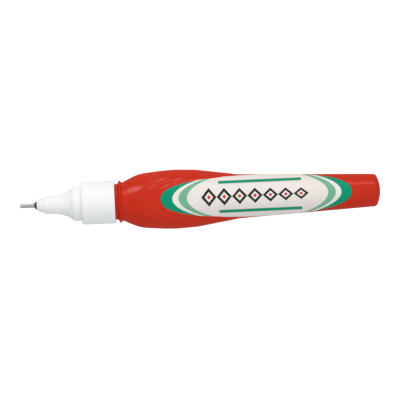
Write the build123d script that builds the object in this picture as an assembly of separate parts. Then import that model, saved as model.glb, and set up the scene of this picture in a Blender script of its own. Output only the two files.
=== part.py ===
from build123d import *
import os
from math import asin, copysign, cos, pi, sin, sqrt

# Correction pen: a squeeze bottle with a spring-loaded needle valve in a steel tip.
# Lengths are millimetres. The pen is worked out on its own axis, X, with the mouth of
# the steel needle at X 0, and is then set down label up on the plane Z 0.

# Fits shared by the pieces
slip = 0.05
running_gap = 0.08
overrun = 1.0

# Steel tip
needle_radius = 0.85
needle_bore_radius = 0.50
needle_length = 5.1
needle_rim_fillet = 0.14
tip_cone_length = 1.1
tip_flange_radius = 1.72
tip_shank_radius = 1.45
tip_shank_length = 5.0
tip_shank_bore_radius = 0.80
valve_seat_length = 0.35

# Nozzle
nose_front_radius = 1.90
nose_rear_radius = 3.08
nose_length = 2.8
nose_crown = 0.10
nozzle_stem_radius = 3.38
nozzle_stem_rear_radius = 3.66
nozzle_stem_length = 4.4
nozzle_stem_fillet = 0.12
flare_length = 6.4
flare_rear_radius = 6.22
nozzle_base_radius = 6.45
nozzle_base_length = 2.9
nozzle_base_fillet = 0.18
nozzle_flange_lap = 0.20
nozzle_flange_thickness = 1.5
spigot_length = 7.8
valve_chamber_radius = 2.2
valve_chamber_length = 12.6
retainer_bore_radius = 3.6

# Collar
collar_radius = 8.0
collar_length = 12.6
collar_lip_thickness = 1.4
collar_front_fillet = 1.0
collar_rear_fillet = 0.25

# Gasket between the nozzle flange and the mouth of the bottle
gasket_thickness = 0.8
gasket_margin = 0.15

# Neck of the bottle
neck_radius = 6.65
neck_bore_radius = 5.05
neck_show = 1.2
snap_ring_height = 0.30
snap_ring_width = 0.8
snap_ring_setback = 4.4
neck_bead_radius = 7.85
neck_bead_width = 1.5
shoulder_radius = 7.15
shoulder_gap = 0.3

# Bulb and barrel of the bottle
bulb_length = 43.7
bulb_half_width = 10.99
bulb_half_height = 9.70
barrel_front_radius = 8.20
barrel_length = 49.5
barrel_rear_radius = 6.10
dome_length = 2.6
dome_corner_radius = 1.6
bottle_wall = 1.1

# Stations along the bulb: share of its length, share of its full swell
bulb_peak_share = 0.45
swell_shares = (
    (0.0, 0.0),
    (0.06, 0.37),
    (0.14, 0.75),
    (0.25, 0.915),
    (bulb_peak_share, 1.0),
    (0.65, 0.77),
    (0.80, 0.53),
    (0.92, 0.30),
    (1.04, -0.02),
)
# The same for the panels, which lie sunk below the ridges and run out into the barrel
panel_sunk_share = 0.65
panel_swell_shares = swell_shares[:6] + ((0.80, 0.20), (1.0, 0.0))
panel_flat_depth = 0.30
layer_sections = 14
panel_sections = 30

# Grip ridges: shallow steps round both label panels
ridge_count = 3
ridge_step = 0.30
ridge_margin_along = 0.8
ridge_margin_across = 0.35
ridge_pitch_along = 5.1
ridge_pitch_across = 1.25

# Label: a full oval, whose power is 2 for a plain ellipse and more for blunter ends
label_half_length = 35.50
label_half_width = 7.57
label_power = 2.4
label_outline_points = 40
label_setback = 49.5
label_thickness = 0.12
label_glue = 0.05

# Needle valve
pin_radius = 0.40
pin_rear_radius = 0.62
pin_proud = 0.35
valve_travel = 0.8
stem_setback = 1.6
stem_head_radius = 2.0
stem_head_length = 4.5
stem_socket_depth = 1.6
stem_post_radius = 0.85
flute_count = 4
flute_width = 0.9
flute_depth = 0.6

# Valve spring
spring_wire_radius = 0.18
spring_radius = 1.30
spring_turns = 8
spring_seat_gap = 0.02

# Spring retainer
retainer_thickness = 3.0
retainer_setback = 1.5
window_count = 4
window_radius = 0.75
window_pitch_radius = 2.35

# Mixing ball
ball_radius = 2.38
ball_gap = 0.3

# Stations along the axis, from the mouth of the needle to the rear end
cone_x = needle_length
nozzle_x = cone_x + tip_cone_length
stem_x = nozzle_x + nose_length
flare_x = stem_x + nozzle_stem_length
base_x = flare_x + flare_length
collar_x = base_x + nozzle_base_length
flange_x = collar_x + collar_lip_thickness
gasket_x = flange_x + nozzle_flange_thickness
mouth_x = gasket_x + gasket_thickness
spigot_end_x = gasket_x + spigot_length
collar_rear_x = collar_x + collar_length
bead_x = collar_rear_x + neck_show
bulb_x = bead_x + neck_bead_width + shoulder_gap
barrel_x = bulb_x + bulb_length
dome_x = barrel_x + barrel_length
rear_x = dome_x + dome_length
label_x = bulb_x + label_setback
shank_end_x = nozzle_x + tip_shank_length
chamber_end_x = shank_end_x + valve_chamber_length
valve_stem_x = shank_end_x + stem_setback
spring_x = valve_stem_x + stem_head_length
retainer_x = spigot_end_x - retainer_setback - retainer_thickness

# Radii that follow from the fits
flange_radius = nozzle_base_radius + nozzle_flange_lap
spigot_radius = neck_bore_radius - slip
panel_depth = ridge_count * ridge_step
cavity_rear_radius = barrel_rear_radius - bottle_wall
dome_rim_radius = barrel_rear_radius - dome_corner_radius
dome_crown_radius = (dome_length**2 - dome_corner_radius**2 + dome_rim_radius**2) / (
    2 * (dome_length - dome_corner_radius)
)
ball_rest_x = dome_x - ball_radius - ball_gap
ball_drop = min(neck_bore_radius, cavity_rear_radius) - ball_radius - ball_gap

# Where the pen lies: the origin is under the middle of its length
middle_x = (rear_x - pin_proud) / 2
axis_height = bulb_half_height - panel_depth - panel_flat_depth
lying = Location((-middle_x, 0, axis_height))


def turned(*outline):
    """A solid of revolution about X from a closed outline of (x, radius) points."""
    return revolve(make_face(Polyline(*outline, close=True)), Axis.X)


def rod(start, end, radius):
    """A round bar along the axis."""
    return turned((start, 0), (end, 0), (end, radius), (start, radius))


def round_edges(solid, x, radius, size):
    """Rounds the circular edge of that radius at that station."""
    close = min(slip, size) / 2
    rims = [
        edge
        for edge in solid.edges().filter_by(GeomType.CIRCLE)
        if abs(edge.arc_center.X - x) < close and abs(edge.radius - radius) < close
    ]
    return fillet(rims, size)


def oval(x, half_width, half_height):
    """One cross-section of the bottle, square to the axis."""
    across = Plane(origin=(x, 0, 0), x_dir=(0, 1, 0), z_dir=(1, 0, 0))
    return across * Ellipse(half_width, half_height)


def swell(share, swell_share):
    """Half width and half height of the bulb at a share of its length."""
    base = shoulder_radius + (barrel_front_radius - shoulder_radius) * share
    peak = shoulder_radius + (barrel_front_radius - shoulder_radius) * bulb_peak_share
    return (
        base + swell_share * (bulb_half_width - peak),
        base + swell_share * (bulb_half_height - peak),
    )


def faired(table, share):
    """The value at a share of the length, on a smooth curve through a table's points."""
    last = len(table) - 1

    def slope(point):
        before = table[max(point - 1, 0)]
        after = table[min(point + 1, last)]
        return (after[1] - before[1]) / (after[0] - before[0])

    point = 0
    while point < last - 1 and share > table[point + 1][0]:
        point += 1
    span = table[point + 1][0] - table[point][0]
    rise = table[point + 1][1] - table[point][1]
    lead = slope(point) * span
    tail = slope(point + 1) * span
    part = (share - table[point][0]) / span
    bend = 3 * rise - 2 * lead - tail + part * (lead + tail - 2 * rise)
    return table[point][1] + part * (lead + part * bend)


def bulb_layer(inset):
    """The swollen front of the bottle, taken in evenly. Its tail dives into the barrel."""
    tail_share = swell_shares[-1][0]
    sections = []
    for station in range(layer_sections + 1):
        share = tail_share * station / layer_sections
        half_width, half_height = swell(share, faired(swell_shares, share))
        x = bulb_x + share * bulb_length
        sections.append(oval(x, half_width - inset, half_height - inset))
    return loft(sections)


def panel_body(grow=0.0):
    """The smooth body under the ridges: the label panels and the barrel behind them."""
    widths = []
    heights = []
    for share, swell_share in panel_swell_shares:
        half_width, half_height = swell(share, swell_share)
        sunk = panel_depth if share <= panel_sunk_share else 0
        widths.append((share, half_width - sunk))
        heights.append((share, half_height - sunk))
    end_share = 1 + barrel_length / bulb_length
    for barrel_share in (0.5, 1.0):
        radius = barrel_front_radius + barrel_share * (barrel_rear_radius - barrel_front_radius)
        share = 1 + barrel_share * (end_share - 1)
        widths.append((share, radius))
        heights.append((share, radius))
    sections = []
    for station in range(panel_sections + 1):
        share = end_share * station / panel_sections
        x = bulb_x + share * bulb_length
        sections.append(oval(x, faired(widths, share) + grow, faired(heights, share) + grow))
    return loft(sections)


def flattened(solid, grow=0.0):
    """Takes the crowns of both panels down to flats, so that the pen lies firmly on either."""
    slab = Box(2 * rear_x, 4 * bulb_half_width, 2 * (axis_height + grow))
    return solid & Pos(rear_x, 0, 0) * slab


def plan_block(half_length, half_width, bottom, top):
    """An upright block with the label's outline, or one round it, as seen from above."""
    points = []
    for step in range(label_outline_points):
        turn = 2 * pi * step / label_outline_points
        along = copysign(abs(cos(turn)) ** (2 / label_power), cos(turn))
        across = copysign(abs(sin(turn)) ** (2 / label_power), sin(turn))
        points.append((label_x + half_length * along, half_width * across, bottom))
    return extrude(make_face(Spline(*points, periodic=True)), top - bottom, dir=(0, 0, 1))


def rear_dome(grow=0.0):
    """The closed end: a rounded corner that runs smoothly into a low crown."""
    corner = dome_corner_radius + grow
    crown = dome_crown_radius + grow
    blend = asin(dome_rim_radius / (dome_crown_radius - dome_corner_radius))
    crown_x = rear_x - dome_crown_radius
    meet = (crown_x + crown * cos(blend), crown * sin(blend))
    half = (pi / 2 + blend) / 2
    side = ThreePointArc(
        (dome_x, dome_rim_radius + corner),
        (dome_x + corner * cos(half), dome_rim_radius + corner * sin(half)),
        meet,
    )
    end = ThreePointArc(
        meet, (crown_x + crown * cos(blend / 2), crown * sin(blend / 2)), (crown_x + crown, 0)
    )
    closing = Polyline((crown_x + crown, 0), (dome_x, 0), (dome_x, dome_rim_radius + corner))
    return revolve(make_face(side + end + closing), Axis.X)


def neck():
    """The neck with its snap ring under the collar and the bead that shows behind it."""
    ring_x = mouth_x + snap_ring_setback
    ring_radius = neck_radius + snap_ring_height
    return turned(
        (mouth_x, 0),
        (mouth_x, neck_radius),
        (ring_x, neck_radius),
        (ring_x + snap_ring_width, ring_radius),
        (ring_x + 2 * snap_ring_width, neck_radius),
        (bead_x, neck_radius),
        (bead_x + neck_bead_width / 2, neck_bead_radius),
        (bead_x + neck_bead_width, shoulder_radius),
        (bulb_x + overrun, shoulder_radius),
        (bulb_x + overrun, 0),
    )


def bottle():
    """The squeeze bottle: neck, ridged bulb, barrel and closed end round one cavity."""
    body = panel_body()
    for ridge in range(ridge_count):
        layer = bulb_layer((ridge_count - 1 - ridge) * ridge_step)
        panel = plan_block(
            label_half_length + ridge_margin_along + ridge * ridge_pitch_along,
            label_half_width + ridge_margin_across + ridge * ridge_pitch_across,
            -2 * bulb_half_height,
            2 * bulb_half_height,
        )
        body += layer - panel
    body = flattened(body) + neck() + rear_dome()
    cavity = flattened(panel_body(-bottle_wall), -bottle_wall)
    cavity += rod(mouth_x - overrun, bulb_x + overrun, neck_bore_radius)
    cavity += rear_dome(-bottle_wall)
    return body - cavity


def label():
    """The film label on the upper panel, a full oval seen from above."""
    outer = label_glue + label_thickness
    outline = plan_block(label_half_length, label_half_width, 0, 2 * bulb_half_height)
    film = flattened(panel_body(outer), outer) & outline
    return film - flattened(panel_body(label_glue), label_glue)


def collar():
    """The white sleeve that snaps over the neck and holds the nozzle down."""
    bore = neck_radius + slip
    groove_x = mouth_x + snap_ring_setback - slip
    groove_radius = bore + snap_ring_height
    sleeve = turned(
        (collar_x, nozzle_base_radius + slip),
        (collar_x, collar_radius),
        (collar_rear_x, collar_radius),
        (collar_rear_x, bore),
        (groove_x + 2 * (snap_ring_width + slip), bore),
        (groove_x + snap_ring_width + slip, groove_radius + slip),
        (groove_x, bore),
        (flange_x, bore),
        (flange_x, nozzle_base_radius + slip),
    )
    sleeve = round_edges(sleeve, collar_x, collar_radius, collar_front_fillet)
    return round_edges(sleeve, collar_rear_x, collar_radius, collar_rear_fillet)


def nozzle():
    """The white nose: a blunt cone, a slim stem, a hollow-cheeked flare and its base."""
    seat_radius = tip_shank_radius + slip
    nose = ThreePointArc(
        (nozzle_x, nose_front_radius),
        (nozzle_x + nose_length / 2, (nose_front_radius + nose_rear_radius) / 2 + nose_crown),
        (stem_x, nose_rear_radius),
    )
    stem = Polyline(
        (stem_x, nose_rear_radius),
        (stem_x, nozzle_stem_radius),
        (flare_x, nozzle_stem_rear_radius),
    )
    flare = TangentArc(
        (flare_x, nozzle_stem_rear_radius),
        (base_x, flare_rear_radius),
        tangent=(nozzle_stem_length, nozzle_stem_rear_radius - nozzle_stem_radius),
    )
    rest = Polyline(
        (base_x, flare_rear_radius),
        (base_x, nozzle_base_radius),
        (flange_x, nozzle_base_radius),
        (flange_x, flange_radius),
        (gasket_x, flange_radius),
        (gasket_x, spigot_radius),
        (spigot_end_x, spigot_radius),
        (spigot_end_x, retainer_bore_radius),
        (chamber_end_x, retainer_bore_radius),
        (chamber_end_x, valve_chamber_radius),
        (shank_end_x, valve_chamber_radius),
        (shank_end_x, seat_radius),
        (nozzle_x, seat_radius),
        (nozzle_x, nose_front_radius),
    )
    shell = revolve(make_face(nose + stem + flare + rest), Axis.X)
    shell = round_edges(shell, stem_x, nozzle_stem_radius, nozzle_stem_fillet)
    return round_edges(shell, base_x, nozzle_base_radius, nozzle_base_fillet)


def gasket():
    """The flat ring that the nozzle flange squeezes on to the mouth of the bottle."""
    return turned(
        (gasket_x, neck_bore_radius),
        (gasket_x, neck_radius - gasket_margin),
        (mouth_x, neck_radius - gasket_margin),
        (mouth_x, neck_bore_radius),
    )


def metal_tip():
    """The steel needle with its conical foot and the shank that holds it in the nose."""
    seat_x = cone_x - valve_seat_length
    tip = turned(
        (0, needle_bore_radius),
        (0, needle_radius),
        (cone_x, needle_radius),
        (nozzle_x, tip_flange_radius),
        (nozzle_x, tip_shank_radius),
        (shank_end_x, tip_shank_radius),
        (shank_end_x, tip_shank_bore_radius),
        (cone_x, tip_shank_bore_radius),
        (seat_x, needle_bore_radius),
    )
    return round_edges(tip, 0, needle_radius, needle_rim_fillet)


def valve_pin():
    """The pin that closes the needle. Its round end stands a little proud of the mouth."""
    seat_x = cone_x - valve_seat_length
    socket_end_x = valve_stem_x + stem_socket_depth
    nose = ThreePointArc(
        (-pin_proud, 0),
        (-pin_proud + pin_radius * (1 - cos(pi / 4)), pin_radius * sin(pi / 4)),
        (-pin_proud + pin_radius, pin_radius),
    )
    rest = Polyline(
        (-pin_proud + pin_radius, pin_radius),
        (seat_x + running_gap, pin_radius),
        (cone_x + running_gap, pin_rear_radius),
        (socket_end_x, pin_rear_radius),
        (socket_end_x, 0),
        (-pin_proud, 0),
    )
    return revolve(make_face(nose + rest), Axis.X)


def valve_stem():
    """The plunger that carries the pin, with flutes for the fluid and a post for the spring."""
    tail_x = retainer_x + retainer_thickness - valve_travel
    socket_end_x = valve_stem_x + stem_socket_depth
    stem = turned(
        (valve_stem_x, pin_rear_radius + slip),
        (valve_stem_x, stem_head_radius),
        (spring_x, stem_head_radius),
        (spring_x, stem_post_radius),
        (tail_x, stem_post_radius),
        (tail_x, 0),
        (socket_end_x, 0),
        (socket_end_x, pin_rear_radius + slip),
    )
    floor_radius = stem_head_radius - flute_depth
    for flute in range(flute_count):
        cutter = Pos(valve_stem_x + stem_head_length / 2, 0, floor_radius + stem_head_radius / 2) * Box(
            stem_head_length + 2 * overrun, flute_width, stem_head_radius
        )
        stem -= Rot(X=360 * flute / flute_count) * cutter
    return stem


def spring_point(turn, start_x, pitch):
    """Place and direction of the spring wire's centre line after some turns."""
    angle = 2 * pi * turn
    place = Vector(start_x + pitch * turn, spring_radius * cos(angle), spring_radius * sin(angle))
    along = Vector(pitch, -2 * pi * spring_radius * sin(angle), 2 * pi * spring_radius * cos(angle))
    return place, along.normalized()


def biarc(start, start_way, end, end_way):
    """Two arcs that leave one point and reach the other in the given directions."""
    chord = end - start
    ways = start_way + end_way
    bend = 2 * (1 - start_way.dot(end_way))
    reach = (-chord.dot(ways) + sqrt(chord.dot(ways) ** 2 + bend * chord.dot(chord))) / bend
    joint = (start + end + (start_way - end_way) * reach) / 2
    joint_way = (joint - (start + start_way * reach)).normalized()
    return [TangentArc(start, joint, tangent=start_way), TangentArc(joint, end, tangent=joint_way)]


def valve_spring():
    """The coil spring between the plunger head and the retainer, one unbroken wire."""
    start_x = spring_x + spring_wire_radius + spring_seat_gap
    end_x = retainer_x - spring_wire_radius - spring_seat_gap
    pitch = (end_x - start_x) / spring_turns
    arcs = []
    for half_turn in range(2 * spring_turns):
        start, start_way = spring_point(half_turn / 2, start_x, pitch)
        end, end_way = spring_point((half_turn + 1) / 2, start_x, pitch)
        arcs += biarc(start, start_way, end, end_way)
    start, start_way = spring_point(0, start_x, pitch)
    section = Plane(origin=start, z_dir=start_way) * Circle(spring_wire_radius)
    samples = 48
    places = [spring_point(step / samples, start_x, pitch)[0] for step in range(2 * samples)]
    gaps = [
        (places[step + apart] - places[step]).length
        for step in range(samples // 2)
        for apart in range(samples // 2, 3 * samples // 2)
    ]
    print("spring: least gap between turns", round(min(gaps) - 2 * spring_wire_radius, 3))
    return sweep(section, path=Wire([arc.edge() for arc in arcs]))


def spring_retainer():
    """The plug behind the spring: a guide hole for the post and windows for the fluid."""
    plug = turned(
        (retainer_x, stem_post_radius + running_gap),
        (retainer_x, retainer_bore_radius - slip),
        (retainer_x + retainer_thickness, retainer_bore_radius - slip),
        (retainer_x + retainer_thickness, stem_post_radius + running_gap),
    )
    window = Pos(0, window_pitch_radius, 0) * rod(
        retainer_x - overrun, retainer_x + retainer_thickness + overrun, window_radius
    )
    for turn in range(window_count):
        plug -= Rot(X=360 * turn / window_count) * window
    return plug


def mixing_ball():
    """The steel ball that stirs the fluid, lying at the closed end of the bottle."""
    return Pos(ball_rest_x, 0, -ball_drop) * Sphere(ball_radius)


pieces = {
    "bottle": bottle,
    "label": label,
    "collar": collar,
    "nozzle": nozzle,
    "gasket": gasket,
    "metal_tip": metal_tip,
    "valve_pin": valve_pin,
    "valve_stem": valve_stem,
    "valve_spring": valve_spring,
    "spring_retainer": spring_retainer,
    "mixing_ball": mixing_ball,
}

os.makedirs("parts", exist_ok=True)
for name, make in pieces.items():
    export_step(lying * make(), f"parts/{name}.step")
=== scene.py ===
import math

import bmesh
import bpy
from mathutils import Matrix, Vector


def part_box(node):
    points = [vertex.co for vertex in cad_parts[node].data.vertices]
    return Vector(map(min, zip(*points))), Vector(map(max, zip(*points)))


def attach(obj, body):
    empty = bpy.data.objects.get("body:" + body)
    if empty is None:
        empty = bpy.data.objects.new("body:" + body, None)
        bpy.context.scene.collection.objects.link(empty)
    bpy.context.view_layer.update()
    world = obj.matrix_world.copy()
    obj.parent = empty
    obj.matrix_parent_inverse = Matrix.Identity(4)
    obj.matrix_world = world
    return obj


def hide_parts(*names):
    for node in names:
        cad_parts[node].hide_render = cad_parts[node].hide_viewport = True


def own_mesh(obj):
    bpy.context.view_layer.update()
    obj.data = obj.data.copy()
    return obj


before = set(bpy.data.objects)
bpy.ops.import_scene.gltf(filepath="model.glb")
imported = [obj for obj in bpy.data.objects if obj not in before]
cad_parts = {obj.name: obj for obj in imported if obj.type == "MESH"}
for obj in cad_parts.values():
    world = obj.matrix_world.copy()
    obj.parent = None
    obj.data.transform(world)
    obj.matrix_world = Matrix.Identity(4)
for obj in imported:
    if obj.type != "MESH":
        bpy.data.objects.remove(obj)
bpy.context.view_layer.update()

# Sizes in metres. Stations are places along X, added up from the mouth of the needle.
mm = 0.001
needle_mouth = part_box("metal_tip")[0][0]
axis_height = (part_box("collar")[0][2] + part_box("collar")[1][2]) / 2
slip = 0.05 * mm

# Steel tip
needle_radius = 0.85 * mm
needle_bore_radius = 0.50 * mm
needle_length = 5.1 * mm
tip_cone_length = 1.1 * mm
tip_flange_radius = 1.72 * mm
tip_shank_radius = 1.45 * mm
tip_shank_length = 5.0 * mm
tip_shank_bore_radius = 0.80 * mm
tip_edge_round = 0.08 * mm
valve_seat_length = 0.35 * mm

# Nozzle. Each groove round the nose has a setback and a depth.
nose_front_radius = 1.90 * mm
nose_rear_radius = 3.08 * mm
nose_length = 2.8 * mm
nose_crown = 0.10 * mm
nose_grooves = ((1.75 * mm, 0.08 * mm), (2.45 * mm, 0.15 * mm))
nose_groove_width = 0.22 * mm
nozzle_stem_radius = 3.38 * mm
nozzle_stem_rear_radius = 3.66 * mm
nozzle_stem_length = 4.4 * mm
flare_length = 6.4 * mm
flare_rear_radius = 6.22 * mm
nozzle_base_radius = 6.45 * mm
nozzle_base_length = 2.9 * mm
nozzle_flange_lap = 0.20 * mm
nozzle_flange_thickness = 1.5 * mm
nozzle_edge_round = 0.16 * mm
spigot_length = 7.8 * mm
valve_chamber_radius = 2.2 * mm
valve_chamber_length = 12.6 * mm
retainer_bore_radius = 3.6 * mm

# Collar
collar_radius = 8.0 * mm
collar_length = 12.6 * mm
collar_lip_thickness = 1.4 * mm
collar_front_fillet = 1.0 * mm
collar_bore_radius = 6.70 * mm
collar_edge_round = 0.14 * mm

# Neck of the bottle
neck_radius = 6.65 * mm
neck_bore_radius = 5.05 * mm
neck_mouth_setback = 3.7 * mm
neck_show = 1.0 * mm
neck_bead_radius = 8.0 * mm
neck_bead_width = 1.7 * mm
neck_bead_round = 0.12 * mm
neck_bead_flank_angle = 40
shoulder_radius = 7.15 * mm
shoulder_gap = 0.3 * mm
shoulder_band_radius = 7.2 * mm

# Bulb and barrel of the bottle
bulb_length = 43.7 * mm
bulb_half_width = 10.99 * mm
bulb_half_height = 9.70 * mm
barrel_front_radius = 8.20 * mm
barrel_rear_radius = 6.10 * mm
barrel_length = 49.5 * mm
dome_length = 2.6 * mm
dome_corner_radius = 1.6 * mm
bottle_wall = 1.1 * mm

# Stations along the bulb: share of its length, share of its full swell
bulb_peak_share = 0.45
swell_shares = (
    (0.0, 0.0),
    (0.06, 0.37),
    (0.14, 0.75),
    (0.25, 0.915),
    (bulb_peak_share, 1.0),
    (0.65, 0.77),
    (0.80, 0.53),
    (0.92, 0.30),
    (1.04, -0.02),
)

# The smooth panel body under the ridges. It is sunk along the bulb and flush along the barrel.
panel_swell_shares = swell_shares[:6] + ((0.80, 0.20), (1.0, 0.0))
panel_barrel_shares = (0.5, 1.0)
panel_sunk_share = 0.65
panel_flat_depth = 0.30 * mm
panel_flat_blend = 0.25 * mm
front_sink = 0.80 * mm
front_sink_start_share = 0.06
front_sink_end_share = 0.28

# Grip ridges round the label panels. In front of the label they run out into a smooth slope.
ridge_count = 3
ridge_step = 0.30 * mm
ridge_margin_along = 0.3 * mm
ridge_margin_across = 0.10 * mm
ridge_pitch_along = 3.9 * mm
ridge_pitch_across = 1.12 * mm
ridge_softness = 1.0 * mm
ridge_slope = 4.5 * mm
ridge_fade_start = 1.0 * mm
ridge_fade_end = 4.5 * mm
ridge_lip = 0.13 * mm
ridge_lip_start = 0.3 * mm
ridge_lip_end = 1.3 * mm
ridge_runout = 0.12 * mm

# Label: a full oval, whose power is 2 for a plain ellipse and more for blunter ends
label_half_length = 35.50 * mm
label_half_width = 7.57 * mm
label_power = 2.4
label_setback = 49.5 * mm
label_lift = 0.08 * mm
label_thickness = 0.10 * mm
label_wrap_share = 0.985

# Print on the label, measured from its centre. Each band inside the rim has a half length and a setback.
band_half_width = 9.2 * mm
band_places = ((31.35 * mm, 0.27 * mm), (29.2 * mm, 0.37 * mm), (26.15 * mm, 0.50 * mm))
lozenge_count = 7
lozenge_pitch = 5.7 * mm
lozenge_row_start = -20.4 * mm
lozenge_front_half_height = 3.5 * mm
lozenge_rear_half_height = 2.2 * mm
rule_start = -14 * mm
rule_end = 17 * mm
rule_level = 5.4 * mm
rule_half_height = 0.55 * mm

# Floor and all-round light of the studio
floor_half_size = 1.5
floor_drop = 0.03 * mm
floor_colour = (0.55, 0.55, 0.55, 1)
floor_roughness = 0.9
floor_glow = 0.80
white_light = (1, 1, 1, 1)
world_light = 0.62

# Lamps: place, size, power in watts and colour. These light the pen and don't show in its gloss.
light_lamps = {
    "key": ((0.11, 0.225, 0.49), (0.50, 0.50), 0.37, (1.0, 0.985, 0.965)),
    "side": ((-0.12, 0.41, 0.29), (0.30, 0.20), 0.93, (1.0, 0.985, 0.965)),
    "fill": ((0.165, -0.264, 0.456), (0.60, 0.40), 0.82, (0.80, 0.92, 1.0)),
}

# These show in its gloss alone: the strip along the ridges and the softbox on the bulb's shoulder
gloss_lamps = {
    "strip": ((0.06, 0.42, 0.34), (0.50, 0.10), 0.95, (1.0, 0.985, 0.97)),
    "softbox": ((-0.293, 0.345, 0.285), (0.15, 0.17), 0.76, (1.0, 0.98, 0.975)),
}

# Camera
view_width = 148.9 * mm
camera_distance = 1.4
camera_elevation = math.radians(89.4)
camera_tilt = math.radians(2.62)
camera_aim = Vector((0.05 * mm, -0.74 * mm, axis_height))
camera_sensor = 36.0
camera_reach = 10.0

# Fineness of the meshes
bottle_segments = 200
turned_segments = 128
needle_segments = 64
ring_spacing = 0.42 * mm
rings_per_lining_ring = 4
nose_steps = 24
flare_steps = 20
fillet_steps = 8
dome_steps = 10
bead_steps = 4
label_columns = 120
label_rows = 48
round_segments = 3
round_from_angle = math.radians(25)
sharp_from_angle = math.radians(35)
weld_distance = 0.0001 * mm
station_tolerance = 0.001 * mm
least_edge_share = 1e-6

# Stations along the axis
nozzle_x = needle_mouth + needle_length + tip_cone_length
stem_x = nozzle_x + nose_length
flare_x = stem_x + nozzle_stem_length
base_x = flare_x + flare_length
collar_x = base_x + nozzle_base_length
flange_x = collar_x + collar_lip_thickness
gasket_x = flange_x + nozzle_flange_thickness
spigot_end_x = gasket_x + spigot_length
shank_end_x = nozzle_x + tip_shank_length
chamber_end_x = shank_end_x + valve_chamber_length
collar_rear_x = collar_x + collar_length
bead_x = collar_rear_x + neck_show
bulb_x = bead_x + neck_bead_width + shoulder_gap
barrel_x = bulb_x + bulb_length
dome_x = barrel_x + barrel_length
label_x = bulb_x + label_setback

# Sizes that follow from the others
panel_depth = ridge_count * ridge_step
flat_height = bulb_half_height - panel_depth - panel_flat_depth
dome_rim_radius = barrel_rear_radius - dome_corner_radius
dome_crown_radius = (dome_length**2 - dome_corner_radius**2 + dome_rim_radius**2) / (
    2 * (dome_length - dome_corner_radius)
)


# Forms

def faired(table, share):
    """The value at a share of the length, on a smooth curve through a table's points."""
    last = len(table) - 1

    def slope(point):
        before = table[max(point - 1, 0)]
        after = table[min(point + 1, last)]
        return (after[1] - before[1]) / (after[0] - before[0])

    point = 0
    while point < last - 1 and share > table[point + 1][0]:
        point += 1
    span = table[point + 1][0] - table[point][0]
    rise = table[point + 1][1] - table[point][1]
    lead = slope(point) * span
    tail = slope(point + 1) * span
    part = (share - table[point][0]) / span
    bend = 3 * rise - 2 * lead - tail + part * (lead + tail - 2 * rise)
    return table[point][1] + part * (lead + part * bend)


def smooth_step(value, low, high):
    """Zero below low, one above high, and a smooth rise between them."""
    part = min(max((value - low) / (high - low), 0), 1)
    return part * part * (3 - 2 * part)


def swell(share, swell_share):
    """Half width and half height of the bulb at a share of its length."""
    base = shoulder_radius + (barrel_front_radius - shoulder_radius) * share
    peak = shoulder_radius + (barrel_front_radius - shoulder_radius) * bulb_peak_share
    return (
        base + swell_share * (bulb_half_width - peak),
        base + swell_share * (bulb_half_height - peak),
    )


def panel_tables():
    """Half widths and half heights of the smooth panel body, by share of the bulb's length."""
    widths = []
    heights = []
    for share, swell_share in panel_swell_shares:
        half_width, half_height = swell(share, swell_share)
        sunk = panel_depth if share <= panel_sunk_share else 0
        widths.append((share, half_width - sunk))
        heights.append((share, half_height - sunk))
    for barrel_share in panel_barrel_shares:
        share = 1 + barrel_share * barrel_length / bulb_length
        radius = barrel_front_radius + barrel_share * (barrel_rear_radius - barrel_front_radius)
        widths.append((share, radius))
        heights.append((share, radius))
    return widths, heights


panel_widths, panel_heights = panel_tables()


def panel_size(x):
    """Half width and half height of the panel body at a station."""
    share = (x - bulb_x) / bulb_length
    return faired(panel_widths, share), faired(panel_heights, share)


def off_oval(x, y, half_length, half_width):
    """How far a place seen from above lies outside an oval of the label's kind."""
    along = abs(x - label_x) / half_length
    across = abs(y) / half_width
    ring = (along**label_power + across**label_power) ** (1 / label_power)
    slope_along = (along / ring) ** (label_power - 1) / half_length
    slope_across = (across / ring) ** (label_power - 1) / half_width
    return (ring - 1) / math.hypot(slope_along, slope_across)


def ridge_height(x, y, room):
    """Height of the grip ridges over the panel body. Room is the depth of the bulb's swell there."""
    height = room - panel_depth
    crisp = smooth_step(abs(y), ridge_fade_start, ridge_fade_end)
    softness = ridge_slope + crisp * (ridge_softness - ridge_slope)
    for ridge in range(ridge_count):
        outside = off_oval(
            x,
            y,
            label_half_length + ridge_margin_along + ridge * ridge_pitch_along,
            label_half_width + ridge_margin_across + ridge * ridge_pitch_across,
        )
        rise = min(max(outside / softness + 0.5, 0), 1)
        past_lip = (outside - ridge_lip_start) / (ridge_lip_end - ridge_lip_start)
        fall = min(max(past_lip, 0), 1) ** 2
        height += rise * (ridge_step + crisp * ridge_lip * (1 - fall))
    return (height + math.hypot(height, ridge_runout)) / 2


def flattened(point, limit):
    """Brings a point over one of the panels' flats down to it, with a soft edge."""
    rise = abs(point.z - axis_height)
    part = max(panel_flat_blend - abs(rise - limit), 0) / panel_flat_blend
    level = min(rise, limit) - part * part * panel_flat_blend / 4
    return Vector((point.x, point.y, axis_height + math.copysign(level, point.z - axis_height)))


def bottle_point(x, angle):
    """A point on the outside of the bulb or barrel."""
    half_width, half_height = panel_size(x)
    share = (x - bulb_x) / bulb_length
    across, up = math.cos(angle), math.sin(angle)
    outward = Vector((0, across / half_width, up / half_height)).normalized()
    point = Vector((x, half_width * across, axis_height + half_height * up))
    if share < swell_shares[-1][0]:
        full_width, full_height = swell(share, faired(swell_shares, share))
        sunk_share = 1 - smooth_step(share, front_sink_start_share, front_sink_end_share)
        full_height -= front_sink * sunk_share
        room = (full_width - half_width) * across**2 + (full_height - half_height) * up**2
        point += outward * ridge_height(x, point.y, room)
    if share < front_sink_start_share:
        foot = Vector((x, 0, axis_height))
        arm = point - foot
        point = foot + arm * max(shoulder_band_radius / arm.length, 1)
    return flattened(point, flat_height)


# Mesh work

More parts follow.
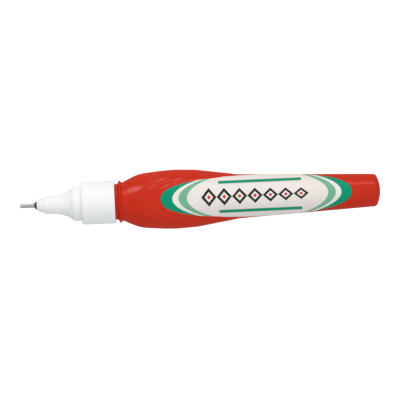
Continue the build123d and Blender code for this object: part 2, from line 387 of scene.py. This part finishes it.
def spun(profile, segments):
    """A bmesh turned about the pen's axis from a closed profile of (station, radius) points."""
    bm = bmesh.new()
    rim = [bm.verts.new((x, 0, axis_height + radius)) for x, radius in profile]
    edges = [bm.edges.new((start, end)) for start, end in zip(rim, rim[1:] + rim[:1])]
    bmesh.ops.spin(
        bm,
        geom=rim + edges,
        cent=(0, 0, axis_height),
        axis=(1, 0, 0),
        angle=2 * math.pi,
        steps=segments,
        use_merge=True,
    )
    bmesh.ops.remove_doubles(bm, verts=bm.verts, dist=weld_distance)
    bmesh.ops.recalc_face_normals(bm, faces=bm.faces)
    return bm


def soften(bm, width, rear_limit=math.inf):
    """Rounds every sharp edge in front of a station."""
    sharp = [
        edge
        for edge in bm.edges
        if edge.calc_face_angle(0) > round_from_angle and edge.verts[0].co.x < rear_limit
    ]
    bmesh.ops.bevel(
        bm,
        geom=sharp,
        offset=width,
        offset_type="OFFSET",
        segments=round_segments,
        profile=0.5,
        affect="EDGES",
        material=-1,
        clamp_overlap=True,
    )


def arc(centre, radius, start, end, count):
    """Points of an arc in the (station, radius) plane, from one angle to another in degrees."""
    points = []
    for step in range(count + 1):
        angle = math.radians(start + (end - start) * step / count)
        points.append((centre[0] + radius * math.cos(angle), centre[1] + radius * math.sin(angle)))
    return points


def piece(name, bm, node, body, material):
    """Makes an object of a bmesh that stands for a node and rides on its body."""
    mesh = bpy.data.meshes.new(name)
    bm.to_mesh(mesh)
    bm.free()
    mesh.shade_smooth()
    mesh.set_sharp_from_angle(angle=sharp_from_angle)
    obj = bpy.data.objects.new(name, mesh)
    bpy.context.collection.objects.link(obj)
    mesh.materials.append(material)
    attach(obj, body)
    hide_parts(node)
    return obj


# Nodes of the materials

def link(tree, value, socket):
    """Sets a socket to a number or colour, or joins it to another socket."""
    if isinstance(value, bpy.types.NodeSocket):
        tree.links.new(value, socket)
    else:
        socket.default_value = value


def calc(tree, operation, first, second=0.0, third=0.0):
    """A Math node."""
    node = tree.nodes.new("ShaderNodeMath")
    node.operation = operation
    for value, socket in zip((first, second, third), node.inputs):
        link(tree, value, socket)
    return node.outputs[0]


def blend_colour(tree, share, first, second):
    """A colour mix: the first colour at share 0, the second at share 1."""
    node = tree.nodes.new("ShaderNodeMix")
    node.data_type = "RGBA"
    link(tree, share, node.inputs["Factor"])
    link(tree, first, node.inputs["A"])
    link(tree, second, node.inputs["B"])
    return node.outputs["Result"]


def map_range(tree, value, low, high, to_low, to_high):
    """A value between low and high, brought to the range from to_low to to_high."""
    node = tree.nodes.new("ShaderNodeMapRange")
    link(tree, value, node.inputs["Value"])
    node.inputs["From Min"].default_value = low
    node.inputs["From Max"].default_value = high
    node.inputs["To Min"].default_value = to_low
    node.inputs["To Max"].default_value = to_high
    return node.outputs["Result"]


def noise(tree, size, detail, stretch=(1, 1, 1)):
    """Noise with features of about that size in metres, drawn out along the axes by stretch."""
    place = tree.nodes.new("ShaderNodeTexCoord")
    mapping = tree.nodes.new("ShaderNodeMapping")
    mapping.inputs["Scale"].default_value = tuple(1 / (size * part) for part in stretch)
    tree.links.new(place.outputs["Object"], mapping.inputs["Vector"])
    node = tree.nodes.new("ShaderNodeTexNoise")
    node.inputs["Scale"].default_value = 1.0
    node.inputs["Detail"].default_value = detail
    tree.links.new(mapping.outputs["Vector"], node.inputs["Vector"])
    return node.outputs["Fac"]


def uneven(tree, pattern, low, high):
    """A noise spread from low to high."""
    noise_low = 0.3
    noise_high = 0.7
    return map_range(tree, pattern, noise_low, noise_high, low, high)


def bump(tree, height, strength, distance):
    """A normal that follows a height."""
    node = tree.nodes.new("ShaderNodeBump")
    node.inputs["Strength"].default_value = strength
    node.inputs["Distance"].default_value = distance
    tree.links.new(height, node.inputs["Height"])
    return node.outputs["Normal"]


def object_place(tree, axis):
    """The object coordinate along X, Y or Z."""
    place = tree.nodes.new("ShaderNodeTexCoord")
    parts = tree.nodes.new("ShaderNodeSeparateXYZ")
    tree.links.new(place.outputs["Object"], parts.inputs[0])
    return parts.outputs[axis]


def new_material(name):
    """A material with its node tree and shader."""
    material = bpy.data.materials.new(name)
    material.use_nodes = True
    tree = material.node_tree
    return material, tree, tree.nodes["Principled BSDF"]


def drifting(tree, colour, shade, cloud_size, streak_width, streak_stretch, streak_share):
    """A colour that drifts to its shade in clouds, and in streaks drawn out along the pen."""
    clouds = noise(tree, cloud_size, detail=3)
    streaks = noise(tree, streak_width, detail=2, stretch=(streak_stretch, 1, 1))
    cloud_tone = calc(tree, "MULTIPLY", clouds, 1 - streak_share)
    tone = calc(tree, "MULTIPLY_ADD", streaks, streak_share, cloud_tone)
    return blend_colour(tree, tone, shade, colour)


def gloss_skin(shader, weight, roughness, ior=1.5):
    """The gloss of a smooth surface: a thin coat over a body without a gloss of its own."""
    shader.inputs["Specular IOR Level"].default_value = 0.0
    shader.inputs["Coat Weight"].default_value = weight
    shader.inputs["Coat Roughness"].default_value = roughness
    shader.inputs["Coat IOR"].default_value = ior


# Materials

def bottle_red():
    """Red blow-moulded plastic with the fine seam where the two halves of the mould met."""
    seam_core = 0.03 * mm
    seam_edge = 0.14 * mm
    grain_size = 0.35 * mm
    grain_share = 0.08
    relief = 0.05 * mm
    material, tree, shader = new_material("bottle_red")
    colour = drifting(
        tree,
        colour=(0.600, 0.025, 0.0065, 1),
        shade=(0.520, 0.021, 0.0055, 1),
        cloud_size=11 * mm,
        streak_width=1.6 * mm,
        streak_stretch=14,
        streak_share=0.30,
    )
    link(tree, colour, shader.inputs["Base Color"])
    haze = noise(tree, size=3 * mm, detail=4)
    link(tree, uneven(tree, haze, low=0.34, high=0.44), shader.inputs["Roughness"])
    gloss_skin(shader, weight=0.09, roughness=0.19, ior=2.0)
    off_seam = calc(tree, "SUBTRACT", object_place(tree, "Z"), axis_height)
    off_seam = calc(tree, "ABSOLUTE", off_seam)
    seam = map_range(tree, off_seam, seam_core, seam_edge, 1.0, 0.0)
    grain = noise(tree, grain_size, detail=3)
    skin = calc(tree, "MULTIPLY_ADD", grain, grain_share, seam)
    link(tree, bump(tree, skin, strength=0.25, distance=relief), shader.inputs["Normal"])
    return material


def moulded_plastic(name, colour, shade, roughness, grain_size):
    """Moulded plastic: faint colour drift, uneven gloss and a fine skin of the mould."""
    shinier = 0.05
    duller = 0.06
    relief = 0.02 * mm
    material, tree, shader = new_material(name)
    drift = drifting(
        tree,
        colour,
        shade,
        cloud_size=9 * mm,
        streak_width=1.2 * mm,
        streak_stretch=12,
        streak_share=0.35,
    )
    link(tree, drift, shader.inputs["Base Color"])
    haze = noise(tree, size=2.5 * mm, detail=4)
    dullness = uneven(tree, haze, low=roughness - shinier, high=roughness + duller)
    link(tree, dullness, shader.inputs["Roughness"])
    gloss_skin(shader, weight=0.08, roughness=0.25)
    grain = noise(tree, grain_size, detail=3)
    link(tree, bump(tree, grain, strength=0.12, distance=relief), shader.inputs["Normal"])
    return material


def collar_white():
    """Warm white of the collar."""
    return moulded_plastic(
        "collar_white",
        colour=(0.90, 0.90, 0.885, 1),
        shade=(0.86, 0.86, 0.85, 1),
        roughness=0.34,
        grain_size=0.3 * mm,
    )


def nozzle_white():
    """Cooler white of the nozzle."""
    return moulded_plastic(
        "nozzle_white",
        colour=(0.885, 0.89, 0.89, 1),
        shade=(0.845, 0.85, 0.855, 1),
        roughness=0.30,
        grain_size=0.3 * mm,
    )


def valve_plastic():
    """Uncoloured plastic of the stem and the retainer."""
    return moulded_plastic(
        "valve_plastic",
        colour=(0.82, 0.81, 0.77, 1),
        shade=(0.76, 0.75, 0.71, 1),
        roughness=0.45,
        grain_size=0.2 * mm,
    )


def seal_rubber():
    """Dull grey-white rubber of the gasket."""
    return moulded_plastic(
        "seal_rubber",
        colour=(0.66, 0.65, 0.63, 1),
        shade=(0.58, 0.57, 0.55, 1),
        roughness=0.65,
        grain_size=0.15 * mm,
    )


def turned_steel(name, colour, dark, roughness, dark_from, dark_to):
    """Turned steel: fine rings of the tool, darker from one station to another; on the needle this
    darkening is painted shade.
    """
    ring_width = 0.10 * mm
    ring_stretch = (1, 60, 60)
    ring_share = 0.25
    dark_share = 0.85
    shinier = 0.05
    duller = 0.08
    relief = 0.01 * mm
    material, tree, shader = new_material(name)
    rings = noise(tree, ring_width, detail=2, stretch=ring_stretch)
    # The darkening along X is painted shade on the needle's foot; on the pin it gives an even tone.
    darkness = map_range(tree, object_place(tree, "X"), dark_from, dark_to, 0.0, 1.0)
    dark_tone = calc(tree, "MULTIPLY", darkness, dark_share)
    tone = calc(tree, "MULTIPLY_ADD", rings, ring_share, dark_tone)
    link(tree, blend_colour(tree, tone, colour, dark), shader.inputs["Base Color"])
    shader.inputs["Metallic"].default_value = 1.0
    dullness = uneven(tree, rings, low=roughness - shinier, high=roughness + duller)
    link(tree, dullness, shader.inputs["Roughness"])
    link(tree, bump(tree, rings, strength=0.15, distance=relief), shader.inputs["Normal"])
    return material


def tip_steel():
    """Steel of the needle, with painted shade that darkens its conical foot."""
    foot_x = needle_mouth + needle_length
    fade_before = 0.3 * mm
    fade_past = 0.5 * mm
    return turned_steel(
        "tip_steel",
        colour=(0.37, 0.375, 0.38, 1),
        # Painted shade: the dark colour of the needle's conical foot.
        dark=(0.05, 0.05, 0.052, 1),
        roughness=0.46,
        dark_from=foot_x - fade_before,
        dark_to=foot_x + fade_past,
    )


def pin_wire():
    """Ground wire of an even tone, because its change of tone is far longer than the pen."""
    reach = 1.0
    return turned_steel(
        "pin_wire",
        colour=(0.62, 0.62, 0.63, 1),
        dark=(0.5, 0.5, 0.5, 1),
        roughness=0.25,
        dark_from=-reach,
        dark_to=reach,
    )


# Print of the label
ink_green = (0.0, 0.270, 0.150, 1)
ink_pale_green = (0.180, 0.430, 0.275, 1)
ink_black = (0.010, 0.010, 0.010, 1)
ink_red = (0.62, 0.020, 0.018, 1)
film_white = (0.78, 0.765, 0.71, 1)
film_panel = (0.81, 0.740, 0.695, 1)
film_dust = (0.55, 0.50, 0.47, 1)

# Inside each other: the bands in the green rim, and the layers of a lozenge with shares of its size
band_inks = (film_white, ink_pale_green, film_panel)
lozenge_layers = ((1.0, ink_black), (0.56, film_white), (0.26, ink_red))


def inside_ellipse(tree, x, y, half_length, half_width):
    """One inside an ellipse about the origin, zero outside."""
    along = calc(tree, "DIVIDE", x, half_length)
    across = calc(tree, "DIVIDE", y, half_width)
    along_squared = calc(tree, "MULTIPLY", along, along)
    across_squared = calc(tree, "MULTIPLY", across, across)
    return calc(tree, "LESS_THAN", calc(tree, "ADD", along_squared, across_squared), 1.0)


def inside_bar(tree, x, y, start, end, level, half_height):
    """One inside a bar with round ends, zero outside."""
    middle = (start + end) / 2
    reach = (end - start) / 2 - half_height
    off_middle = calc(tree, "ABSOLUTE", calc(tree, "SUBTRACT", x, middle))
    beyond = calc(tree, "MAXIMUM", calc(tree, "SUBTRACT", off_middle, reach), 0.0)
    above = calc(tree, "SUBTRACT", y, level)
    beyond_squared = calc(tree, "POWER", beyond, 2.0)
    above_squared = calc(tree, "POWER", above, 2.0)
    span = calc(tree, "SQRT", calc(tree, "ADD", beyond_squared, above_squared))
    return calc(tree, "LESS_THAN", span, half_height)


def print_bands(tree, x, y):
    """The colour of the nested bands, and one on the innermost panel, zero elsewhere."""
    colour = ink_green
    for (half_length, setback), ink in zip(band_places, band_inks):
        off_centre = calc(tree, "SUBTRACT", x, setback)
        inside = inside_ellipse(tree, off_centre, y, half_length, band_half_width)
        colour = blend_colour(tree, inside, colour, ink)
    return colour, inside


def print_lozenges(tree, x, y, colour):
    """A row of lozenges that grow smaller towards the rear."""
    cell = calc(tree, "DIVIDE", calc(tree, "SUBTRACT", x, lozenge_row_start), lozenge_pitch)
    index = calc(tree, "FLOOR", cell)
    off_middle = calc(tree, "SUBTRACT", calc(tree, "SUBTRACT", cell, index), 0.5)
    off_middle = calc(tree, "ABSOLUTE", off_middle)
    half_height = map_range(
        tree, index, 0.0, lozenge_count - 1, lozenge_front_half_height, lozenge_rear_half_height
    )
    rise = calc(tree, "DIVIDE", calc(tree, "ABSOLUTE", y), half_height)
    size = calc(tree, "MULTIPLY_ADD", off_middle, 2.0, rise)
    past_start = calc(tree, "GREATER_THAN", cell, 0.0)
    before_end = calc(tree, "LESS_THAN", cell, lozenge_count)
    in_row = calc(tree, "MULTIPLY", past_start, before_end)
    for layer_share, ink in lozenge_layers:
        inside = calc(tree, "MULTIPLY", calc(tree, "LESS_THAN", size, layer_share), in_row)
        colour = blend_colour(tree, inside, colour, ink)
    return colour


def print_rules(tree, x, y, colour):
    """A green rule on each side of the lozenges."""
    for level in (-rule_level, rule_level):
        inside = inside_bar(tree, x, y, rule_start, rule_end, level, rule_half_height)
        colour = blend_colour(tree, inside, colour, ink_green)
    return colour


def dusted(tree, colour, on_panel):
    """A colour with faint specks, which show most on the pale panel."""
    speck_size = 0.5 * mm
    speck_low = 0.35
    speck_high = 0.65
    share_on_print = 0.01
    more_on_panel = 0.05
    strength = calc(tree, "MULTIPLY_ADD", on_panel, more_on_panel, share_on_print)
    specks = map_range(tree, noise(tree, speck_size, detail=2), speck_low, speck_high, 0.0, 1.0)
    return blend_colour(tree, calc(tree, "MULTIPLY", specks, strength), colour, film_dust)


def printed_film():
    """The printed label: nested green bands and a pale panel with lozenges between two rules."""
    ripple_size = 0.6 * mm
    relief = 0.02 * mm
    material, tree, shader = new_material("printed_film")
    x = calc(tree, "SUBTRACT", object_place(tree, "X"), label_x)
    y = object_place(tree, "Y")
    colour, on_panel = print_bands(tree, x, y)
    colour = print_lozenges(tree, x, y, colour)
    colour = print_rules(tree, x, y, colour)
    link(tree, dusted(tree, colour, on_panel), shader.inputs["Base Color"])
    haze = noise(tree, size=2 * mm, detail=3)
    link(tree, uneven(tree, haze, low=0.36, high=0.48), shader.inputs["Roughness"])
    gloss_skin(shader, weight=0.15, roughness=0.35)
    ripple = noise(tree, ripple_size, detail=2)
    link(tree, bump(tree, ripple, strength=0.08, distance=relief), shader.inputs["Normal"])
    return material


# Pieces

def neck_outline():
    """Profile of the neck, from its bore over the mouth and the bead to the shoulder."""
    mouth_x = collar_x + neck_mouth_setback
    bead_centre = (bead_x + neck_bead_width / 2, neck_bead_radius - neck_bead_round)
    flank = neck_bead_flank_angle
    return [
        (mouth_x, neck_bore_radius),
        (mouth_x, neck_radius),
        (bead_x, neck_radius),
        *arc(bead_centre, neck_bead_round, 180 - flank, flank, bead_steps),
        (bead_x + neck_bead_width, shoulder_radius),
    ]


def body_outline(ring_step, wall):
    """Profile of the bulb and barrel inside a wall, at every ring or at every few of them."""
    rings = round((dome_x - bulb_x) / ring_spacing)
    points = []
    for ring in range(0, rings + 1, ring_step):
        x = bulb_x + (dome_x - bulb_x) * ring / rings
        points.append((x, panel_size(x)[0] - wall))
    return points


def dome_outline(wall):
    """Profile of the closed end inside a wall: a round corner that runs into a low crown."""
    blend = math.degrees(math.asin(dome_rim_radius / (dome_crown_radius - dome_corner_radius)))
    crown_x = dome_x + dome_length - dome_crown_radius
    corner = arc((dome_x, dome_rim_radius), dome_corner_radius - wall, 90, blend, dome_steps)
    crown = arc((crown_x, 0), dome_crown_radius - wall, blend, 0, dome_steps)
    return corner + crown[1:]


def pressed(place):
    """Where a point of the round bulb or barrel goes when the bottle gets its oval form."""
    radius = math.hypot(place.y, place.z - axis_height)
    angle = math.atan2(place.z - axis_height, place.y)
    half_width, half_height = panel_size(place.x)
    if radius > half_width - bottle_wall / 2:
        return bottle_point(place.x, angle)
    across = (half_width - bottle_wall) * math.cos(angle)
    up = (half_height - bottle_wall) * math.sin(angle)
    return flattened(Vector((place.x, across, axis_height + up)), flat_height - bottle_wall)


def make_bottle(material):
    """The squeeze bottle, outside and inside, turned round and then pressed to its oval."""
    outside = neck_outline() + body_outline(1, 0.0) + dome_outline(0.0)[1:]
    lining = body_outline(rings_per_lining_ring, bottle_wall)
    inside = dome_outline(bottle_wall)[::-1] + lining[::-1][1:]
    bm = spun(outside + inside, bottle_segments)
    for vert in bm.verts:
        if bulb_x - station_tolerance <= vert.co.x <= dome_x + station_tolerance:
            vert.co = pressed(vert.co)
    piece("bottle_shell", bm, "bottle", "pen", material)


def label_point(u, v):
    """Bends a place on a square from -1 to 1 over the upper panel, as a full oval."""
    along = u * math.sqrt(1 - v * v / 2)
    across = v * math.sqrt(1 - u * u / 2)
    x = label_x + label_half_length * along
    half_width, half_height = panel_size(x)
    round_edge = math.sqrt(max(1 - along * along, 0))
    full_edge = max(1 - abs(along) ** label_power, 0) ** (1 / label_power)
    reach = min(label_half_width * full_edge, label_wrap_share * half_width)
    share = across / round_edge if round_edge > least_edge_share else 0
    angle = share * math.asin(reach / half_width)
    side, up = math.sin(angle), math.cos(angle)
    outward = Vector((0, side / half_width, up / half_height)).normalized()
    foot = Vector((x, half_width * side, axis_height + half_height * up))
    return flattened(foot, flat_height) + outward * label_lift


def make_label(material):
    """The film label, a full oval seen from above, bent over the upper panel."""
    bm = bmesh.new()
    bmesh.ops.create_grid(bm, x_segments=label_columns, y_segments=label_rows, size=1.0)
    for vert in bm.verts:
        vert.co = label_point(vert.co.x, vert.co.y)
    bmesh.ops.recalc_face_normals(bm, faces=bm.faces)
    film = piece("label_film", bm, "label", "pen", material)
    wall = film.modifiers.new("film", "SOLIDIFY")
    wall.thickness = label_thickness
    wall.offset = 1.0


def make_collar(material):
    """The plain white sleeve with its rounded front edge."""
    bore_radius = nozzle_base_radius + slip
    fillet = collar_front_fillet
    profile = [
        (collar_x, bore_radius),
        *arc((collar_x + fillet, collar_radius - fillet), fillet, 180, 90, fillet_steps),
        (collar_rear_x, collar_radius),
        (collar_rear_x, collar_bore_radius),
        (flange_x, collar_bore_radius),
        (flange_x, bore_radius),
    ]
    bm = spun(profile, turned_segments)
    soften(bm, collar_edge_round)
    piece("collar_sleeve", bm, "collar", "pen", material)


def nose_outline():
    """Profile of the blunt cone: slightly crowned, with fine grooves round it."""
    points = []
    for step in range(nose_steps + 1):
        share = step / nose_steps
        crown = nose_crown * 4 * share * (1 - share)
        radius = nose_front_radius + share * (nose_rear_radius - nose_front_radius) + crown
        for setback, depth in nose_grooves:
            off_groove = (share * nose_length - setback) / nose_groove_width
            radius -= depth * math.exp(-off_groove * off_groove)
        points.append((nozzle_x + share * nose_length, radius))
    return points


def flare_outline():
    """Profile of the hollow flare: an arc that leaves the slim stem without a kink."""
    rise = flare_rear_radius - nozzle_stem_rear_radius
    lead = math.atan((nozzle_stem_rear_radius - nozzle_stem_radius) / nozzle_stem_length)
    sweep = 2 * (math.atan(rise / flare_length) - lead)
    radius = math.hypot(flare_length, rise) / (2 * math.sin(sweep / 2))
    centre = (
        flare_x - radius * math.sin(lead),
        nozzle_stem_rear_radius + radius * math.cos(lead),
    )
    start = math.degrees(lead) - 90
    return arc(centre, radius, start, start + math.degrees(sweep), flare_steps)


def make_nozzle(material):
    """The white nose with its blunt cone, slim stem, hollow flare and base, and the spigot inside."""
    seat_radius = tip_shank_radius + slip
    flange_radius = nozzle_base_radius + nozzle_flange_lap
    spigot_radius = neck_bore_radius - slip
    profile = [
        (nozzle_x, seat_radius),
        *nose_outline(),
        (stem_x, nozzle_stem_radius),
        (flare_x, nozzle_stem_rear_radius),
        *flare_outline()[1:],
        (base_x, nozzle_base_radius),
        (flange_x, nozzle_base_radius),
        (flange_x, flange_radius),
        (gasket_x, flange_radius),
        (gasket_x, spigot_radius),
        (spigot_end_x, spigot_radius),
        (spigot_end_x, retainer_bore_radius),
        (chamber_end_x, retainer_bore_radius),
        (chamber_end_x, valve_chamber_radius),
        (shank_end_x, valve_chamber_radius),
        (shank_end_x, seat_radius),
    ]
    bm = spun(profile, turned_segments)
    soften(bm, nozzle_edge_round, rear_limit=collar_x)
    piece("nozzle_shell", bm, "nozzle", "pen", material)


def make_tip(material):
    """The steel needle, its conical foot and the shank in the nose."""
    cone_x = needle_mouth + needle_length
    profile = [
        (needle_mouth, needle_bore_radius),
        (needle_mouth, needle_radius),
        (cone_x, needle_radius),
        (nozzle_x, tip_flange_radius),
        (nozzle_x, tip_shank_radius),
        (shank_end_x, tip_shank_radius),
        (shank_end_x, tip_shank_bore_radius),
        (cone_x, tip_shank_bore_radius),
        (cone_x - valve_seat_length, needle_bore_radius),
    ]
    bm = spun(profile, needle_segments)
    soften(bm, tip_edge_round)
    piece("needle_tip", bm, "metal_tip", "pen", material)


def finish_nodes(material, *nodes):
    """Gives nodes of the frame their finish."""
    for node in nodes:
        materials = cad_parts[node].data.materials
        materials.clear()
        materials.append(material)


def press_spring():
    """Gives the spring a mesh of its own."""
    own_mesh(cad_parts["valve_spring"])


def make_pieces():
    """The outer pieces, and the finish of the pieces inside."""
    make_bottle(bottle_red())
    make_label(printed_film())
    make_collar(collar_white())
    make_nozzle(nozzle_white())
    make_tip(tip_steel())
    finish_nodes(pin_wire(), "valve_pin", "valve_spring", "mixing_ball")
    finish_nodes(valve_plastic(), "valve_stem", "spring_retainer")
    finish_nodes(seal_rubber(), "gasket")
    press_spring()


# Studio

def seen_by_eye(tree):
    """One for rays from the camera, mirrors and glass, zero for the light that falls on things."""
    path = tree.nodes.new("ShaderNodeLightPath")
    direct = calc(tree, "MAXIMUM", path.outputs["Is Camera Ray"], path.outputs["Is Glossy Ray"])
    return calc(tree, "MAXIMUM", direct, path.outputs["Is Transmission Ray"])


def floor_white():
    """A dull white that looks bright but throws little light on the pen."""
    material, tree, shader = new_material("floor_white")
    shader.inputs["Base Color"].default_value = floor_colour
    shader.inputs["Roughness"].default_value = floor_roughness
    shader.inputs["Specular IOR Level"].default_value = 0.0
    shader.inputs["Emission Color"].default_value = white_light
    glow = calc(tree, "MULTIPLY", seen_by_eye(tree), floor_glow)
    link(tree, glow, shader.inputs["Emission Strength"])
    return material


def make_floor():
    """A plain floor, a hair below the pen."""
    bm = bmesh.new()
    bmesh.ops.create_grid(bm, x_segments=1, y_segments=1, size=floor_half_size)
    bmesh.ops.translate(bm, verts=bm.verts, vec=(0, 0, -floor_drop))
    mesh = bpy.data.meshes.new("floor")
    bm.to_mesh(mesh)
    bm.free()
    floor = bpy.data.objects.new("floor", mesh)
    bpy.context.collection.objects.link(floor)
    mesh.materials.append(floor_white())


def make_world():
    """White all round to the eye, and dimmer as light on the pen."""
    world = bpy.data.worlds.new("studio")
    bpy.context.scene.world = world
    world.use_nodes = True
    tree = world.node_tree
    back = tree.nodes["Background"]
    back.inputs["Color"].default_value = white_light
    strength = map_range(tree, seen_by_eye(tree), 0.0, 1.0, world_light, 1.0)
    link(tree, strength, back.inputs["Strength"])


def make_lamp(name, place, size, power, colour, in_gloss):
    """A rectangular lamp that faces the pen, and shows in its gloss or lights it."""
    lamp = bpy.data.lights.new(name, "AREA")
    lamp.shape = "RECTANGLE"
    lamp.size, lamp.size_y = size
    lamp.energy = power
    lamp.color = colour
    obj = bpy.data.objects.new(name, lamp)
    bpy.context.collection.objects.link(obj)
    obj.location = place
    towards = Vector((0, 0, axis_height)) - Vector(place)
    obj.rotation_euler = towards.to_track_quat("-Z", "Y").to_euler()
    obj.visible_glossy = in_gloss
    obj.visible_diffuse = not in_gloss


def make_camera():
    """The camera looks down on the label from a little in front, turned so that the pen rises."""
    back = Vector((0, -math.cos(camera_elevation), math.sin(camera_elevation)))
    up = Vector((math.sin(camera_tilt), math.cos(camera_tilt), 0))
    up = (up - back * up.dot(back)).normalized()
    right = up.cross(back)
    camera = bpy.data.cameras.new("camera")
    camera.sensor_width = camera_sensor
    camera.lens = camera_sensor * camera_distance / view_width
    camera.clip_end = camera_reach
    obj = bpy.data.objects.new("camera", camera)
    bpy.context.collection.objects.link(obj)
    turn = Matrix((right, up, back)).transposed().to_4x4()
    obj.matrix_world = Matrix.Translation(camera_aim + back * camera_distance) @ turn
    bpy.context.scene.camera = obj


def make_studio():
    """The floor, the light and the camera."""
    bpy.context.scene.view_settings.view_transform = "Standard"
    make_floor()
    make_world()
    for name, values in light_lamps.items():
        make_lamp(name, *values, in_gloss=False)
    for name, values in gloss_lamps.items():
        make_lamp(name, *values, in_gloss=True)
    make_camera()


make_pieces()
make_studio()
